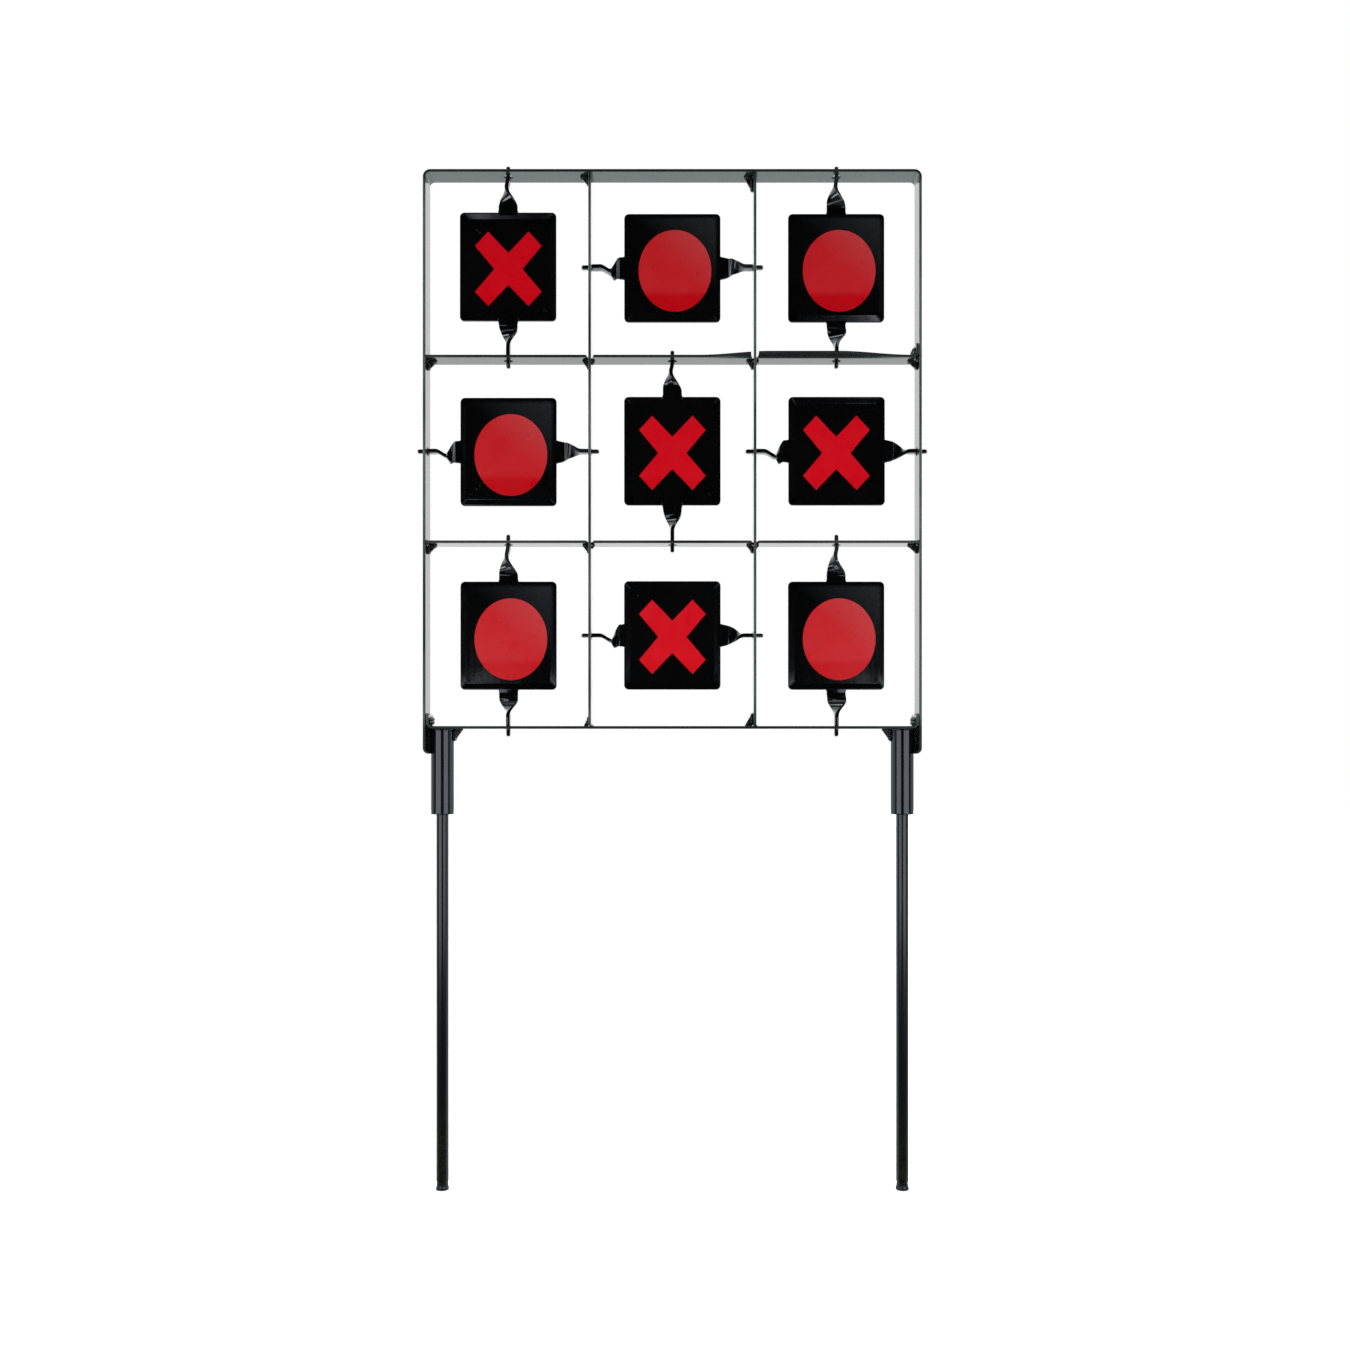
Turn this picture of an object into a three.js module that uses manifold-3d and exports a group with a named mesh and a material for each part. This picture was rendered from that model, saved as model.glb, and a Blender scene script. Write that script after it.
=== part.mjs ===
// Spinner target stand: a welded grid of steel strips on two push-in legs, with nine
// plates that turn freely on their own pins. Millimetres, +Z up, +X to the right as seen
// from the shooting side (-Y). The origin is midway between the bottoms of the two legs.
import * as THREE from 'three';
import { mergeVertices } from 'three/addons/utils/BufferGeometryUtils.js';
import Module from 'manifold-3d';

const wasm = await Module();
wasm.setup();

// ---------------------------------------------------------------- driving dimensions
const GAP = 0.3;                  // clearance between pieces that are welded or touch

const STRIP_T = 2.5;              // flat bar of the frame
const STRIP_W = 25;
const FRAME_HALF_WIDTH = 223;     // to the middle of the outer bar
const COLUMN_PITCH = 2 * FRAME_HALF_WIDTH / 3;
const ROW_PITCH = 166.8;
const Z_BOTTOM = 418.6;           // middle of the bottom crossbar
const Z_LOWER = Z_BOTTOM + ROW_PITCH;
const Z_UPPER = Z_LOWER + ROW_PITCH;
const Z_TOP = Z_UPPER + ROW_PITCH;

const HOOP_CORNER_R = 5.5;
const HOOP_TAIL = 18.5;           // how far the hoop runs on below the bottom crossbar
const TAB_H = 11.5;               // turned-up end of a crossbar
const TAB_BEND_R = 4.5;
const NOTCH_MOUTH = 7.5;          // flared notch where a crossbar passes an upright
const LIP = { from: 30, to: 214, height: 3.8, depth: 2.5 };   // bent-up front edge of the upper crossbar
const LIP_SLOPE = 45;             // how far from each of its ends the lip reaches its full height
const LAP_PLAY = 0.6;             // play in the half-lapped crossings
const PIN_HOLE_R = 4;

const SOCKET_X = 208.5;
const SOCKET_R = 10.25;
const SOCKET_LENGTH = 77;
const LEG_R = 5.4;
const LEG_PLAY = 0.4;
const FOOT_R = 6.1;
const FOOT_H = 5.5;
const FOOT_GROOVE_R = 4.9;
const FOOT_GROOVE_H = 1.8;
const LEG_CHAMFER = 1;

const PLATE_W = 87.3;
const PLATE_H = 98.2;
const PLATE_T = 2.8;
const PLATE_CORNER_R = 4.2;
const BORDER = 6;                 // width of the sloped border round the raised field
const FIELD_RISE = 2;
const LEAF_Y = 1.66;              // leaf plane behind the pin line, so that a plate balances

const LEAF_W = 17.5;              // ear of a plate that turns about an upright line
const LEAF_W_SIDE = 20;           // ear of a plate that turns about a level line
const BLADE_W = 10;
const EAR_STEPS = 10;
const EAR_OVERLAP = 1.5;          // how far an ear runs into the plate
const EAR_NARROWS = [0.1, 0.75];  // where along an ear it narrows, twists and comes onto the pin line
const EAR_TWISTS = [0.3, 0.85];
const EAR_CENTRES = [0.25, 0.85];
const SHOULDER_GAP = 0.5;
const PIN_T = 3.6;                // an ear thickens to this where it is forged into the pin
const PIN_W = 4.6;
const PIN_BEYOND = 8;             // pin length past the middle of the bar

const ROUND_MARK_W = 65.9;
const ROUND_MARK_H = 74;
const ROUND_MARK_AT = { x: 2.4, z: -3.4 };     // the marks are printed a little off centre
const CROSS_MARK_Z = -1.2;
const CROSS_SIDE_TIP = { x: 30.2, z: 20.8 };   // the two corners at the end of an arm
const CROSS_HIGH_TIP = { x: 18.3, z: 33.7 };
const CROSS_ELBOW = { x: 12.8, z: 14.6 };      // inner corners, from the middle
const MARK_T = 0.3;

const GUSSET_T = 3;
const HOOP_GUSSET_LEFT = { x: 8.6, z: 8.6 };   // leg along the crossbar, leg along the upright
const HOOP_GUSSET_RIGHT = { x: 8.8, z: 7.8 };
const CROSSING_GUSSET = { x: 6, z: 7.8 };
const CROSSING_RIB = { x: 2.8, z: 3.2 };
const TOP_GUSSET_LEFT = { x: 8, z: 7.8 };
const TOP_GUSSET_RIGHT = { x: 8.2, z: 14 };
const BOTTOM_GUSSET_LEFT = { x: 4.5, z: 9 };
const BOTTOM_GUSSET_RIGHT = { x: 7.4, z: 12.4 };
const SOCKET_GUSSET = { x: 8.5, z: 11.5 };
const TAIL_WELD = { depth: 11, height: 17.5 };   // weld metal between a socket and the hoop's tail

const ROUND_STEPS = 28;
const HOLE_STEPS = 14;
const MARK_STEPS = 20;
const ARC_STEPS = 3;

// ---------------------------------------------------------------- materials
const framePaint = new THREE.MeshStandardMaterial({ color: 0x15201f, roughness: 0.42, metalness: 0.3 });
const legPaint = new THREE.MeshStandardMaterial({ color: 0x141a22, roughness: 0.35, metalness: 0.4 });
const platePaint = new THREE.MeshStandardMaterial({ color: 0x050506, roughness: 0.2, metalness: 0.2 });
const markRed = new THREE.MeshStandardMaterial({ color: 0xc40a18, roughness: 0.35, metalness: 0 });

const target = new THREE.Group();

// ---------------------------------------------------------------- helpers
function toSolid(geometry) {
  const bare = geometry.clone();
  bare.deleteAttribute('normal');
  bare.deleteAttribute('uv');
  const merged = mergeVertices(bare, 1e-4);
  return new wasm.Manifold(new wasm.Mesh({
    numProp: 3,
    vertProperties: new Float32Array(merged.attributes.position.array),
    triVerts: new Uint32Array(merged.index.array),
  }));
}

function toGeometry(solid) {
  const mesh = solid.getMesh();
  const geometry = new THREE.BufferGeometry();
  geometry.setAttribute('position', new THREE.BufferAttribute(new Float32Array(mesh.vertProperties), 3));
  geometry.setIndex(new THREE.BufferAttribute(new Uint32Array(mesh.triVerts), 1));
  geometry.computeVertexNormals();
  return geometry;
}

function join(...geometries) {
  return toGeometry(geometries.map(toSolid).reduce((whole, piece) => whole.add(piece)));
}

function cut(geometry, ...tools) {
  return toGeometry(tools.map(toSolid).reduce((whole, tool) => whole.subtract(tool), toSolid(geometry)));
}

function place(name, geometry, material, parent = target) {
  const mesh = new THREE.Mesh(geometry, material);
  mesh.name = name;
  parent.add(mesh);
  return mesh;
}

function box(x, y, z, width, depth, height) {
  return new THREE.BoxGeometry(width, depth, height).translate(x, y, z);
}

// A shape drawn in X and Z, as a slab of the given depth, centred on y.
function slabXZ(shape, depth, y = 0, curveSegments = ARC_STEPS) {
  const geometry = new THREE.ExtrudeGeometry(shape, { depth, bevelEnabled: false, curveSegments });
  return geometry.rotateX(Math.PI / 2).translate(0, y + depth / 2, 0);
}

const heading = (from, to) => to.clone().sub(from).normalize();

// Outline of a strip of even thickness that follows a path of lines and arcs.
function stripOutline(path) {
  const points = path.getPoints(ARC_STEPS);
  const last = points.length - 1;
  const near = [];
  const far = [];
  points.forEach((point, i) => {
    const before = i > 0 ? heading(points[i - 1], point) : heading(point, points[i + 1]);
    const after = i < last ? heading(point, points[i + 1]) : before;
    const along = before.clone().add(after).normalize();
    const reach = STRIP_T / 2 / along.dot(before);
    const side = new THREE.Vector2(-along.y, along.x).multiplyScalar(reach);
    near.push(point.clone().add(side));
    far.unshift(point.clone().sub(side));
  });
  return new THREE.Shape([...near, ...far]);
}

// A hole for a pin, along the Z or the X axis.
function pinHole(x, z, axis) {
  const hole = new THREE.CylinderGeometry(PIN_HOLE_R, PIN_HOLE_R, 4 * STRIP_T, HOLE_STEPS);
  return (axis === 'x' ? hole.rotateZ(Math.PI / 2) : hole.rotateX(Math.PI / 2)).translate(x, 0, z);
}

const cellX = (column) => (column - 1) * COLUMN_PITCH;
const cellZ = (row) => (Z_TOP + Z_UPPER) / 2 - row * ROW_PITCH;
const uprightX = COLUMN_PITCH / 2;

// ---------------------------------------------------------------- frame
// One long bar bent into a hoop; its two tails turn in under the sockets' flanks.
function outerHoop() {
  const r = HOOP_CORNER_R;
  const w = FRAME_HALF_WIDTH;
  const tailZ = Z_BOTTOM - HOOP_TAIL;
  const tailR = w - SOCKET_X - SOCKET_R - GAP;
  const path = new THREE.Path();
  path.moveTo(-w + tailR, tailZ - tailR);
  path.absarc(-w + tailR, tailZ, tailR, -Math.PI / 2, -Math.PI, true);
  path.lineTo(-w, Z_TOP - r);
  path.absarc(-w + r, Z_TOP - r, r, Math.PI, Math.PI / 2, true);
  path.lineTo(w - r, Z_TOP);
  path.absarc(w - r, Z_TOP - r, r, Math.PI / 2, 0, true);
  path.lineTo(w, tailZ);
  path.absarc(w - tailR, tailZ, tailR, 0, -Math.PI / 2, true);
  const holes = [pinHole(cellX(0), Z_TOP, 'z'), pinHole(cellX(2), Z_TOP, 'z')];
  holes.push(pinHole(-w, cellZ(1), 'x'), pinHole(w, cellZ(1), 'x'));
  return cut(slabXZ(stripOutline(path), STRIP_W), ...holes);
}

// An upright runs between the top bar and the bottom crossbar, and is slotted from
// behind where the two middle crossbars pass through it.
function innerUpright(x) {
  const low = Z_BOTTOM + STRIP_T / 2 + GAP;
  const high = Z_TOP - STRIP_T / 2 - GAP;
  const bar = box(x, 0, (low + high) / 2, STRIP_T, STRIP_W, high - low);
  const slots = [Z_LOWER, Z_UPPER].map((z) => (
    box(x, STRIP_W / 2, z, 2 * STRIP_T, STRIP_W + LAP_PLAY, STRIP_T + LAP_PLAY)
  ));
  const holes = [0, 1, 2].map((row) => pinHole(x, cellZ(row), 'x'));
  return cut(bar, ...slots, ...holes);
}

// The notch in a crossbar opens from its front edge and narrows to the upright.
function crossbarNotch(x, z) {
  const inner = (STRIP_T + LAP_PLAY) / 2;
  const shape = new THREE.Shape();
  shape.moveTo(x - NOTCH_MOUTH / 2, -STRIP_W / 2 - 1);
  shape.lineTo(x + NOTCH_MOUTH / 2, -STRIP_W / 2 - 1);
  shape.lineTo(x + inner, LAP_PLAY / 2);
  shape.lineTo(x - inner, LAP_PLAY / 2);
  const height = 4 * STRIP_T;
  return new THREE.ExtrudeGeometry(shape, { depth: height, bevelEnabled: false }).translate(0, 0, z - height / 2);
}

// The upper crossbar's front edge is bent upwards along its right-hand part, up to the
// upright (side -1) and on from it (side 1).
function bentLip(side) {
  const base = Z_UPPER + STRIP_T / 2 + GAP;
  const top = Z_UPPER + STRIP_T / 2 + LIP.height;
  const shape = new THREE.Shape();
  shape.moveTo(LIP.from, base);
  shape.lineTo(LIP.to, base);
  shape.quadraticCurveTo(LIP.to - LIP_SLOPE / 2, top, LIP.to - LIP_SLOPE, top);
  shape.lineTo(LIP.from + LIP_SLOPE, top);
  shape.quadraticCurveTo(LIP.from + LIP_SLOPE / 2, top, LIP.from, base);
  const whole = slabXZ(shape, LIP.depth, (LIP.depth - STRIP_W) / 2);
  const length = LIP.to - LIP.from;
  const edge = uprightX + side * (STRIP_T + LAP_PLAY) / 2;
  return cut(whole, box(edge - side * length / 2, 0, Z_UPPER, length, 2 * STRIP_W, 4 * LIP.height));
}

// A crossbar's end is either plain or turned up against the outer bar.
function crossbar(z, tabLeft, tabRight, notched, pinColumns) {
  const plainEnd = FRAME_HALF_WIDTH - STRIP_T / 2 - GAP;
  const tabX = plainEnd - STRIP_T / 2;
  const r = TAB_BEND_R;
  const path = new THREE.Path();
  if (tabLeft) {
    path.moveTo(-tabX, z + TAB_H);
    path.lineTo(-tabX, z + r);
    path.absarc(-tabX + r, z + r, r, Math.PI, 1.5 * Math.PI, false);
  } else {
    path.moveTo(-plainEnd, z);
  }
  if (tabRight) {
    path.lineTo(tabX - r, z);
    path.absarc(tabX - r, z + r, r, -Math.PI / 2, 0, false);
    path.lineTo(tabX, z + TAB_H);
  } else {
    path.lineTo(plainEnd, z);
  }
  const notches = notched ? [-uprightX, uprightX].map((x) => crossbarNotch(x, z)) : [];
  const holes = pinColumns.map((column) => pinHole(cellX(column), z, 'z'));
  return cut(slabXZ(stripOutline(path), STRIP_W), ...notches, ...holes);
}

// A triangular gusset whose right-angled corner is at (x, z). Its legs run to the side and
// up where towardX and towardZ are 1, the other way where they are -1.
function gusset(x, z, legs, towardX, towardZ) {
  const shape = new THREE.Shape();
  shape.moveTo(x, z);
  shape.lineTo(x + towardX * legs.x, z);
  shape.lineTo(x, z + towardZ * legs.z);
  return slabXZ(shape, GUSSET_T);
}

function addFrameBars() {
  place('outer_hoop', outerHoop(), framePaint);
  place('inner_upright_left', innerUpright(-uprightX), framePaint);
  place('inner_upright_right', innerUpright(uprightX), framePaint);
  place('crossbar_upper', crossbar(Z_UPPER, false, true, true, [0, 1, 2]), framePaint);
  place('upper_lip_left', bentLip(-1), framePaint);
  place('upper_lip_right', bentLip(1), framePaint);
  place('crossbar_lower', crossbar(Z_LOWER, false, false, true, [0, 1, 2]), framePaint);
  place('crossbar_bottom', crossbar(Z_BOTTOM, true, true, false, [0, 2]), framePaint);
}

// The gussets stand in the middle of the bars' width, one at each welded corner.
function addGussets() {
  const off = STRIP_T / 2 + GAP;
  const hoopInside = FRAME_HALF_WIDTH - off;
  for (const [level, z] of [['upper', Z_UPPER - off], ['lower', Z_LOWER - off]]) {
    place(`hoop_gusset_left_${level}`, gusset(-hoopInside, z, HOOP_GUSSET_LEFT, 1, -1), framePaint);
    place(`hoop_gusset_right_${level}`, gusset(hoopInside, z, HOOP_GUSSET_RIGHT, -1, -1), framePaint);
    for (const [side, x] of [['left', -uprightX], ['right', uprightX]]) {
      place(`upright_${side}_gusset_${level}`, gusset(x - off, z, CROSSING_GUSSET, -1, -1), framePaint);
      place(`upright_${side}_rib_${level}`, gusset(x + off, z, CROSSING_RIB, 1, -1), framePaint);
    }
  }
  const underTop = Z_TOP - off;
  const aboveBottom = Z_BOTTOM + off;
  const left = -uprightX - off;
  const right = uprightX - off;
  place('upright_left_gusset_top', gusset(left, underTop, TOP_GUSSET_LEFT, -1, -1), framePaint);
  place('upright_right_gusset_top', gusset(right, underTop, TOP_GUSSET_RIGHT, -1, -1), framePaint);
  place('upright_left_gusset_bottom', gusset(left, aboveBottom, BOTTOM_GUSSET_LEFT, -1, 1), framePaint);
  place('upright_right_gusset_bottom', gusset(right, aboveBottom, BOTTOM_GUSSET_RIGHT, -1, 1), framePaint);
}

// Weld metal that fills the corner between a socket and the inside of the hoop's tail.
function tailWeld(sign, top) {
  const outside = FRAME_HALF_WIDTH - STRIP_T / 2 - GAP;
  const width = outside - SOCKET_X;
  const middleZ = top - TAIL_WELD.height / 2;
  const fill = box(sign * (outside - width / 2), 0, middleZ, width, TAIL_WELD.depth, TAIL_WELD.height);
  const tube = new THREE.CylinderGeometry(SOCKET_R + GAP, SOCKET_R + GAP, 2 * TAIL_WELD.height, ROUND_STEPS);
  return cut(fill, tube.rotateX(Math.PI / 2).translate(sign * SOCKET_X, 0, middleZ));
}

// A socket is an open tube welded under the bottom crossbar, with a gusset on its inner flank.
function addSockets() {
  const top = Z_BOTTOM - STRIP_T / 2 - GAP;
  for (const [side, sign] of [['left', -1], ['right', 1]]) {
    const ring = new THREE.Shape();
    ring.absarc(0, 0, SOCKET_R, 0, 2 * Math.PI, false);
    const bore = new THREE.Path();
    bore.absarc(0, 0, LEG_R + LEG_PLAY, 0, 2 * Math.PI, true);
    ring.holes.push(bore);
    const settings = { depth: SOCKET_LENGTH, bevelEnabled: false, curveSegments: ROUND_STEPS / 2 };
    const tube = new THREE.ExtrudeGeometry(ring, settings);
    place(`socket_${side}`, tube.translate(sign * SOCKET_X, 0, top - SOCKET_LENGTH), legPaint);
    const flank = sign * (SOCKET_X - SOCKET_R - GAP);
    place(`socket_gusset_${side}`, gusset(flank, top, SOCKET_GUSSET, -sign, -1), framePaint);
    place(`tail_weld_${side}`, tailWeld(sign, top), framePaint);
  }
}

// ---------------------------------------------------------------- legs
// Round rods with a grooved, slightly spread foot; each one stops against the crossbar.
function addLegs() {
  const top = Z_BOTTOM - STRIP_T / 2 - 2 * GAP;
  const grooveTop = FOOT_H + FOOT_GROOVE_H;
  const profile = [
    [0, 0], [FOOT_R, 0], [FOOT_R, FOOT_H - LEG_CHAMFER], [FOOT_GROOVE_R, FOOT_H],
    [FOOT_GROOVE_R, grooveTop], [LEG_R, grooveTop + LEG_R - FOOT_GROOVE_R],
    [LEG_R, top - LEG_CHAMFER], [LEG_R - LEG_CHAMFER, top], [0, top],
  ].map(([r, z]) => new THREE.Vector2(r, z));
  for (const [side, sign] of [['left', -1], ['right', 1]]) {
    const rod = new THREE.LatheGeometry(profile, ROUND_STEPS).rotateX(Math.PI / 2);
    place(`leg_${side}`, rod.translate(sign * SOCKET_X, 0, 0), legPaint);
  }
}

// ---------------------------------------------------------------- plates
function roundedRectangle(width, height, r) {
  const x = width / 2 - r;
  const z = height / 2 - r;
  const shape = new THREE.Shape();
  shape.absarc(x, z, r, 0, Math.PI / 2, false);
  shape.absarc(-x, z, r, Math.PI / 2, Math.PI, false);
  shape.absarc(-x, -z, r, Math.PI, 1.5 * Math.PI, false);
  shape.absarc(x, -z, r, 1.5 * Math.PI, 2 * Math.PI, false);
  return shape;
}

// A flat-topped mound: rim of the sheet's thickness, then the sloped border. Front is -Y.
function mound(y) {
  const rim = slabXZ(roundedRectangle(PLATE_W, PLATE_H, PLATE_CORNER_R), PLATE_T, y);
  const slope = slabXZ(roundedRectangle(PLATE_W, PLATE_H, PLATE_CORNER_R), FIELD_RISE, 0);
  const position = slope.attributes.position;
  for (let i = 0; i < position.count; i += 1) {
    if (position.getY(i) < 0) {
      position.setX(i, position.getX(i) * (1 - 2 * BORDER / PLATE_W));
      position.setZ(i, position.getZ(i) * (1 - 2 * BORDER / PLATE_H));
    }
  }
  return join(rim, slope.translate(0, y - (PLATE_T + FIELD_RISE) / 2, 0));
}

const smooth = ([from, to], value) => THREE.MathUtils.smoothstep(value, from, to);

// An ear: a flat leaf off the plate's edge that narrows and twists a quarter turn into an
// upright blade, whose shoulder stops short of the bar, and then a pin through the bar.
// It is drawn along +Z from the plate's edge, with the bar's middle at barZ.
function ear(edgeZ, barZ, leafWidth) {
  const root = edgeZ - EAR_OVERLAP;
  const shoulder = barZ - STRIP_T / 2 - SHOULDER_GAP;
  const length = shoulder - root;
  const tongue = new THREE.BoxGeometry(1, PLATE_T, 1, 1, 1, EAR_STEPS);
  const position = tongue.attributes.position;
  for (let i = 0; i < position.count; i += 1) {
    const s = position.getZ(i) + 0.5;
    const width = leafWidth + (BLADE_W - leafWidth) * smooth(EAR_NARROWS, s);
    const turn = Math.PI / 2 * smooth(EAR_TWISTS, s);
    const x = position.getX(i) * width;
    const y = position.getY(i) * (1 + (PIN_T / PLATE_T - 1) * smooth(EAR_NARROWS, s));
    position.setX(i, x * Math.cos(turn) - y * Math.sin(turn));
    position.setY(i, x * Math.sin(turn) + y * Math.cos(turn) + LEAF_Y * (1 - smooth(EAR_CENTRES, s)));
    position.setZ(i, root + s * length);
  }
  const tip = barZ + PIN_BEYOND;
  const pin = box(0, 0, (shoulder - 1 + tip) / 2, PIN_T, PIN_W, tip - shoulder + 1);
  return join(tongue, pin);
}

// A plate with two ears: 'z' turns about an upright line, 'x' about a level line.
function plate(axis) {
  const pan = cut(mound(LEAF_Y), mound(LEAF_Y + PLATE_T));
  const ears = [0, 1].map((end) => {
    if (axis === 'z') {
      return ear(PLATE_H / 2, ROW_PITCH / 2, LEAF_W).rotateY(end * Math.PI);
    }
    return ear(PLATE_W / 2, COLUMN_PITCH / 2, LEAF_W_SIDE).rotateY((end + 0.5) * Math.PI);
  });
  return join(pan, ...ears);
}

function roundMark() {
  const oval = new THREE.Shape();
  const { x, z } = ROUND_MARK_AT;
  oval.absellipse(x, z, ROUND_MARK_W / 2, ROUND_MARK_H / 2, 0, 2 * Math.PI, false);
  return oval;
}

// A cross with four equal arms, drawn arm by arm from the right-hand elbow.
function crossMark() {
  const shape = new THREE.Shape();
  shape.moveTo(CROSS_ELBOW.x, 0);
  for (const [sx, sz] of [[1, 1], [-1, 1], [-1, -1], [1, -1]]) {
    const side = [sx * CROSS_SIDE_TIP.x, sz * CROSS_SIDE_TIP.z];
    const high = [sx * CROSS_HIGH_TIP.x, sz * CROSS_HIGH_TIP.z];
    const outward = sx * sz > 0;
    shape.lineTo(...(outward ? side : high));
    shape.lineTo(...(outward ? high : side));
    shape.lineTo(outward ? 0 : sx * CROSS_ELBOW.x, outward ? sz * CROSS_ELBOW.z : 0);
  }
  return shape;
}

// Nine spinners. Upright and level pin lines alternate like a chequerboard. Each plate has
// a round mark on its domed face and a cross on its hollow face; shows names the face in front.
function addSpinners() {
  const rows = ['top', 'middle', 'bottom'];
  const columns = ['left', 'centre', 'right'];
  const shows = ['xoo', 'oxx', 'oxo'];
  const fieldY = LEAF_Y - FIELD_RISE;
  const markOut = PLATE_T / 2 + GAP + MARK_T / 2;
  rows.forEach((rowName, row) => columns.forEach((columnName, column) => {
    const spinner = new THREE.Group();
    spinner.position.set(cellX(column), 0, cellZ(row));
    spinner.rotation.z = shows[row][column] === 'x' ? Math.PI : 0;
    const where = `${rowName}_${columnName}`;
    const axis = (row + column) % 2 === 0 ? 'z' : 'x';
    place(`plate_${where}`, plate(axis), platePaint, spinner);
    const round = slabXZ(roundMark(), MARK_T, fieldY - markOut, MARK_STEPS);
    const cross = slabXZ(crossMark(), MARK_T, fieldY + markOut).translate(0, 0, CROSS_MARK_Z);
    place(`round_mark_${where}`, round, markRed, spinner);
    place(`cross_mark_${where}`, cross, markRed, spinner);
    target.add(spinner);
  }));
}

addFrameBars();
addGussets();
addSockets();
addLegs();
addSpinners();

export default target;
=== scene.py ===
"""Looks of the spinner target stand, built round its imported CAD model. Metres, +Z up."""
import math

import bmesh
import bpy
from mathutils import Matrix, Vector, noise


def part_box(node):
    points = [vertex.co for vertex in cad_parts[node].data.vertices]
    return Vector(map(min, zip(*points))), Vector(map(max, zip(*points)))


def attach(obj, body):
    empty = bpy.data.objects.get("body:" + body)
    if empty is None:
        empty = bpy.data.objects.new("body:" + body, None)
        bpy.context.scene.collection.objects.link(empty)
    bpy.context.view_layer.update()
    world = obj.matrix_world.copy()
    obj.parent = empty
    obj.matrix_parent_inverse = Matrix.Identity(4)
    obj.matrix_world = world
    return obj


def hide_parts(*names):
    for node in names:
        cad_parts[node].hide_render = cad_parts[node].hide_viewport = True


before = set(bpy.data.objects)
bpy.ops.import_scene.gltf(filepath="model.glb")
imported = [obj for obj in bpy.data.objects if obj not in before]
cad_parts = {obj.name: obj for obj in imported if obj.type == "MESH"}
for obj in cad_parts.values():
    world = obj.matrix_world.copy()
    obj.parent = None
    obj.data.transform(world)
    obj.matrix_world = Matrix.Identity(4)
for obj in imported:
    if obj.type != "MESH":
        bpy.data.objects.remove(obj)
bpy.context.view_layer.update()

MM = 0.001
TAU = 2 * math.pi
QUARTER = math.pi / 2

# ---------------------------------------------------------------- sizes read from the frame
UPRIGHT_LOW, UPRIGHT_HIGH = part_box("inner_upright_left")
HOOP_LOW, HOOP_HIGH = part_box("outer_hoop")
BAR_T = UPRIGHT_HIGH.x - UPRIGHT_LOW.x
BAR_W = UPRIGHT_HIGH.y - UPRIGHT_LOW.y
HALF_WIDTH = HOOP_HIGH.x - BAR_T / 2
COLUMN_PITCH = 2 * HALF_WIDTH / 3
Z_TOP = HOOP_HIGH.z - BAR_T / 2
Z_LOWER = (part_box("crossbar_lower")[0].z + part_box("crossbar_lower")[1].z) / 2
Z_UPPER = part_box("crossbar_upper")[0].z + BAR_T / 2
Z_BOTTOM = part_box("crossbar_bottom")[0].z + BAR_T / 2
ROW_PITCH = Z_TOP - Z_UPPER
UPRIGHT_X = UPRIGHT_HIGH.x - BAR_T / 2
GAP = 0.3 * MM
TAB_TOP = 11.5 * MM       # top of a crossbar's turned-up end, above the crossbar's middle

PLATE_LOW, PLATE_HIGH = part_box("plate_top_left")
SIDE_PLATE_LOW, SIDE_PLATE_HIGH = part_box("plate_top_centre")
PLATE_W = PLATE_HIGH.x - PLATE_LOW.x
PLATE_H = SIDE_PLATE_HIGH.z - SIDE_PLATE_LOW.z
PIN_BEYOND = (PLATE_HIGH.z - PLATE_LOW.z - ROW_PITCH) / 2
PLATE_T = 2.8 * MM
PLATE_CORNER_R = 4.2 * MM
BORDER = 6 * MM
FIELD_RISE = 2 * MM
FIELD_CROWN = 0.7 * MM
LEAF_Y = 1.66 * MM
ROUND_LOW, ROUND_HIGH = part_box("round_mark_top_right")
CROSS_LOW, CROSS_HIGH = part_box("cross_mark_top_left")

ROWS = ("top", "middle", "bottom")
COLUMNS = ("left", "centre", "right")
SHOWS = ("xoo", "oxx", "oxo")      # the face that each plate turns to the front, row by row


def cell_x(column):
    return (column - 1) * COLUMN_PITCH


def cell_z(row):
    return (Z_TOP + Z_UPPER) / 2 - row * ROW_PITCH


# ---------------------------------------------------------------- mesh helpers
def smoothstep(low, high, value):
    t = min(max((value - low) / (high - low), 0), 1)
    return t * t * (3 - 2 * t)


def make_object(name, verts, faces, sharp_deg=38):
    mesh = bpy.data.meshes.new(name)
    mesh.from_pydata([tuple(v) for v in verts], [], faces)
    mesh.validate()
    obj = bpy.data.objects.new(name, mesh)
    bpy.context.scene.collection.objects.link(obj)
    tidy_mesh(obj, sharp_deg)
    return obj


def tidy_mesh(obj, sharp_deg=38):
    """Faces out, smooth shading, and creases kept where faces meet at more than sharp_deg."""
    mesh = obj.data
    bm = bmesh.new()
    bm.from_mesh(mesh)
    bmesh.ops.recalc_face_normals(bm, faces=bm.faces)
    bm.to_mesh(mesh)
    bm.free()
    mesh.polygons.foreach_set("use_smooth", [True] * len(mesh.polygons))
    mesh.set_sharp_from_angle(angle=math.radians(sharp_deg))


def bake_modifiers(obj):
    """Turns an object's modifiers into plain mesh."""
    graph = bpy.context.evaluated_depsgraph_get()
    graph.update()
    old = obj.data
    obj.data = bpy.data.meshes.new_from_object(obj.evaluated_get(graph))
    obj.modifiers.clear()
    obj.data.name = obj.name
    bpy.data.meshes.remove(old)


def flatten(obj):
    """Lets the large faces set the shading, so that flat stretches stay flat up to their edges."""
    weigh = obj.modifiers.new("weigh", "WEIGHTED_NORMAL")
    weigh.keep_sharp = True
    weigh.weight = 100
    bake_modifiers(obj)
    return obj


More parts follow.
